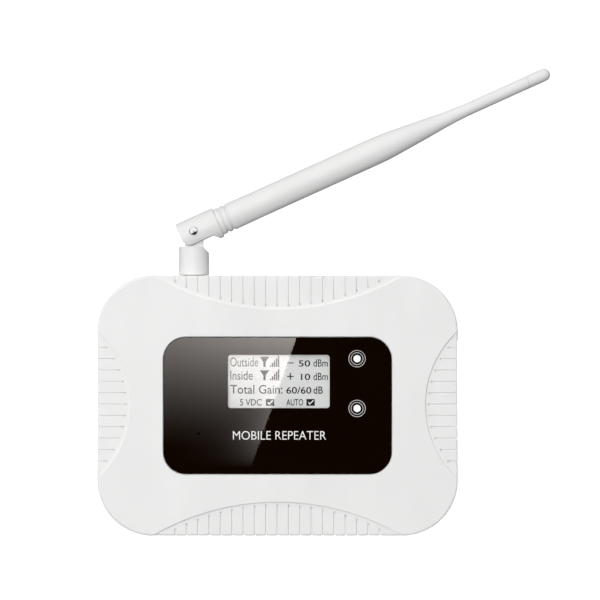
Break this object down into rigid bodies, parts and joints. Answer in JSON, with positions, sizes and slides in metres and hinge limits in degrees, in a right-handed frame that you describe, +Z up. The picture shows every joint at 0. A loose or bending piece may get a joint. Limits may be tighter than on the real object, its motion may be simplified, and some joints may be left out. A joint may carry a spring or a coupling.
{
  "type": "cellular signal booster",
  "caption": "Desktop cellular repeater: white case with grooved arc pockets, black panel with a display, and a tilting, swivelling whip antenna.",
  "frame": {"origin": "centre of the case's flat bottom edge, at half its depth", "axes": "+Z up to the antenna, -Y out of the front panel, +X to the right as seen from the front"},
  "size_m": [0.1994, 0.025, 0.2056],
  "materials": {
    "case_white": "fine satin",
    "antenna_white": "satin",
    "sheath_white": "satin",
    "screw_steel": "zinc plated",
    "rivet_chrome": "polished",
    "foot_rubber": "matt",
    "label_silver": "satin film",
    "lens_clear": "glossy",
    "mask_black": "printed black",
    "print_grey": "printed",
    "tape_black": "foam",
    "light_guide": "milky",
    "display_glass": "glossy",
    "display_white": "satin",
    "display_frame": "satin",
    "flex_film": "polyimide film",
    "connector_plastic": "satin",
    "board_green": "solder mask",
    "shield_tin": "tinned",
    "chip_black": "moulded",
    "ceramic": "fired",
    "pad_grey": "soft",
    "spreader_aluminium": "extruded",
    "can_aluminium": "sleeveless can",
    "lamp_white": "moulded",
    "gold_brass": "gold plated",
    "contact_gold": "gold plated",
    "ptfe_white": "turned",
    "inlet_metal": "nickel plated",
    "cable_jacket": "extruded",
    "radiator_brass": "drawn",
    "coil_former": "moulded"
  },
  "bodies": {
    "case": {"front_cover": "case_white", "rear_cover": "case_white", "case_screws": "screw_steel", "rubber_feet": "foot_rubber", "rating_label": "label_silver", "panel_lens": "lens_clear", "panel_mask": "mask_black", "indicator_rings": "print_grey", "panel_adhesive": "tape_black", "light_guides": "light_guide", "display_gasket": "tape_black", "display_glass": "display_glass", "display_backlight": "display_white", "display_frame": "display_frame", "display_flex": "flex_film", "flex_connector": "connector_plastic", "main_board": "board_green", "board_screws": "screw_steel", "uplink_shield": "shield_tin", "downlink_shield": "shield_tin", "amplifier_chips": "chip_black", "thermal_pads": "pad_grey", "heat_spreader": "spreader_aluminium", "duplexers": "ceramic", "controller_chip": "chip_black", "power_inductor": "chip_black", "bulk_capacitors": "can_aluminium", "indicator_lamps": "lamp_white", "buzzer": "connector_plastic", "indoor_port": "gold_brass", "indoor_port_insulator": "ptfe_white", "indoor_port_contact": "contact_gold", "indoor_port_washer": "gold_brass", "indoor_port_nut": "gold_brass", "outdoor_port": "gold_brass", "outdoor_port_insulator": "ptfe_white", "outdoor_port_contact": "contact_gold", "outdoor_port_washer": "gold_brass", "outdoor_port_nut": "gold_brass", "power_inlet": "connector_plastic", "inlet_pin": "inlet_metal", "inlet_spring": "inlet_metal", "coupling_nut": "gold_brass"},
    "antenna_foot": {"antenna_base": "antenna_white", "plug_body": "gold_brass", "plug_insulator": "ptfe_white", "plug_pin": "contact_gold", "base_cable": "cable_jacket"},
    "antenna_whip": {"whip_knuckle": "antenna_white", "hinge_pins": "rivet_chrome", "whip_sheath": "sheath_white", "whip_cap": "sheath_white", "whip_cable": "cable_jacket", "radiator_sleeve": "radiator_brass", "coil_support": "coil_former", "radiator_coil": "radiator_brass", "radiator_rod": "radiator_brass"}
  },
  "joints": [
    {"name": "antenna_swivel", "type": "hinge", "parent": "case", "child": "antenna_foot", "pos_m": [-0.03705, 0, 0.114], "axis": [0, 0, 1], "continuous": true},
    {"name": "antenna_tilt", "type": "hinge", "parent": "antenna_foot", "child": "antenna_whip", "pos_m": [-0.037, 0, 0.1335], "axis": [0, 1, 0], "range_deg": [-65.65, 24.35]}
  ]
}
